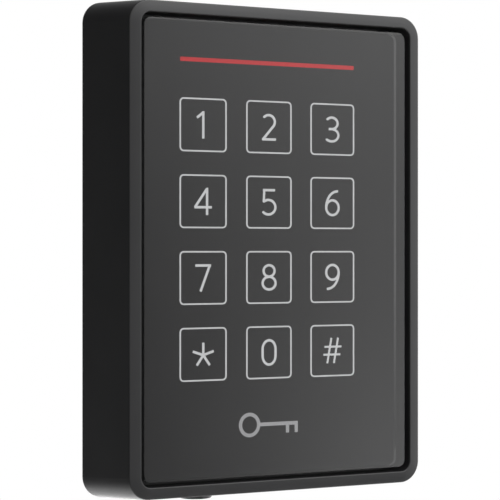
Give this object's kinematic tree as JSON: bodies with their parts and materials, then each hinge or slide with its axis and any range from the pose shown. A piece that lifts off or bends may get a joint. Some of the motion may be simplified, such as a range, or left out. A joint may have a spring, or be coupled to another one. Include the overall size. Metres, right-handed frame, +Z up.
{
  "type": "keypad access reader",
  "caption": "Wall-mounted access reader with a touch keypad behind a recessed smoked window, a light bar, and a flared housing that hangs on a wall plate and tilts out.",
  "frame": {"origin": "centre of the wall plate's back face, on the wall plane", "axes": "+Y into the wall, keypad faces -Y, +Z up, +X to the right seen from the front"},
  "size_m": [0.106, 0.0293, 0.1512],
  "materials": {
    "housing_plastic": "fine moulded texture, black",
    "smoked_window": "polished, smoked, see-through",
    "legend_print": "light grey print, lit from behind",
    "light_bar_red": "red light strip",
    "pictogram_print": "mid grey print",
    "film_black": "black masking film",
    "foam_tape": "black double-sided foam tape",
    "guide_clear": "clear acrylic",
    "led_white": "lamp body",
    "board_green": "solder-masked circuit board",
    "chip_black": "moulded chip package",
    "copper": "enamelled copper winding",
    "ferrite": "dark ferrite sheet",
    "plated_steel": "plated steel",
    "black_steel": "blackened steel",
    "brass_insert": "turned brass",
    "inner_plastic": "moulded chassis plastic",
    "plate_plastic": "glass-filled plate plastic",
    "soft_rubber": "soft black rubber",
    "connector_plastic": "green connector plastic",
    "socket_plastic": "ivory connector plastic",
    "can_aluminium": "capacitor can",
    "membrane_white": "breathable membrane"
  },
  "bodies": {
    "wall_mount": {"wall_plate": "plate_plastic", "lug_insert": "brass_insert", "cable_grommet": "soft_rubber"},
    "reader": {"antenna_coil": "copper", "bar_diffuser": "guide_clear", "bar_leds": "led_white", "board_plug": "socket_plastic", "board_screws": "plated_steel", "board_socket": "socket_plastic", "buzzer": "chip_black", "capacitors": "can_aluminium", "carrier_frame": "inner_plastic", "cover_screws": "plated_steel", "crystal": "plated_steel", "ferrite_sheet": "ferrite", "front_window": "smoked_window", "header_pins": "plated_steel", "housing": "housing_plastic", "inductor": "ferrite", "key_0": "legend_print", "key_1": "legend_print", "key_2": "legend_print", "key_3": "legend_print", "key_4": "legend_print", "key_5": "legend_print", "key_6": "legend_print", "key_7": "legend_print", "key_8": "legend_print", "key_9": "legend_print", "key_hash": "legend_print", "key_leds": "led_white", "key_star": "legend_print", "legend_film": "film_black", "light_bar": "light_bar_red", "light_guide": "guide_clear", "main_board": "board_green", "memory": "chip_black", "pictogram": "pictogram_print", "processor": "chip_black", "radio_shield": "plated_steel", "rear_cover": "inner_plastic", "rear_seal": "soft_rubber", "tamper_switch": "chip_black", "terminal_header": "connector_plastic", "touch_board": "board_green", "touch_controller": "chip_black", "vent_membrane": "membrane_white", "window_adhesive": "foam_tape", "tamper_spring": "plated_steel"},
    "security_screw": {"security_screw": "black_steel"},
    "tamper_plunger": {"tamper_plunger": "socket_plastic"},
    "terminal_plug": {"terminal_plug": "connector_plastic", "wire_clamps": "plated_steel", "terminal_screws": "plated_steel"}
  },
  "joints": [
    {"name": "reader_tilt", "type": "hinge", "parent": "wall_mount", "child": "reader", "pos_m": [0, -0.0042, 0.0702], "axis": [-1, 0, 0], "range_deg": [0, 9]},
    {"name": "security_screw_out", "type": "slide", "parent": "wall_mount", "child": "security_screw", "axis": [0, 0, -1], "range_m": [0, 0.0068]},
    {"name": "tamper_plunger_out", "type": "slide", "parent": "reader", "child": "tamper_plunger", "axis": [0, 1, 0], "range_m": [0, 0.0012], "deforming": ["tamper_spring"]},
    {"name": "terminal_plug_out", "type": "slide", "parent": "reader", "child": "terminal_plug", "axis": [0, 0, -1], "range_m": [0, 0.0075]}
  ],
  "couplings": [
    {"joint": "tamper_plunger_out", "follows": "reader_tilt", "m_per_rad": 0.00763}
  ]
}
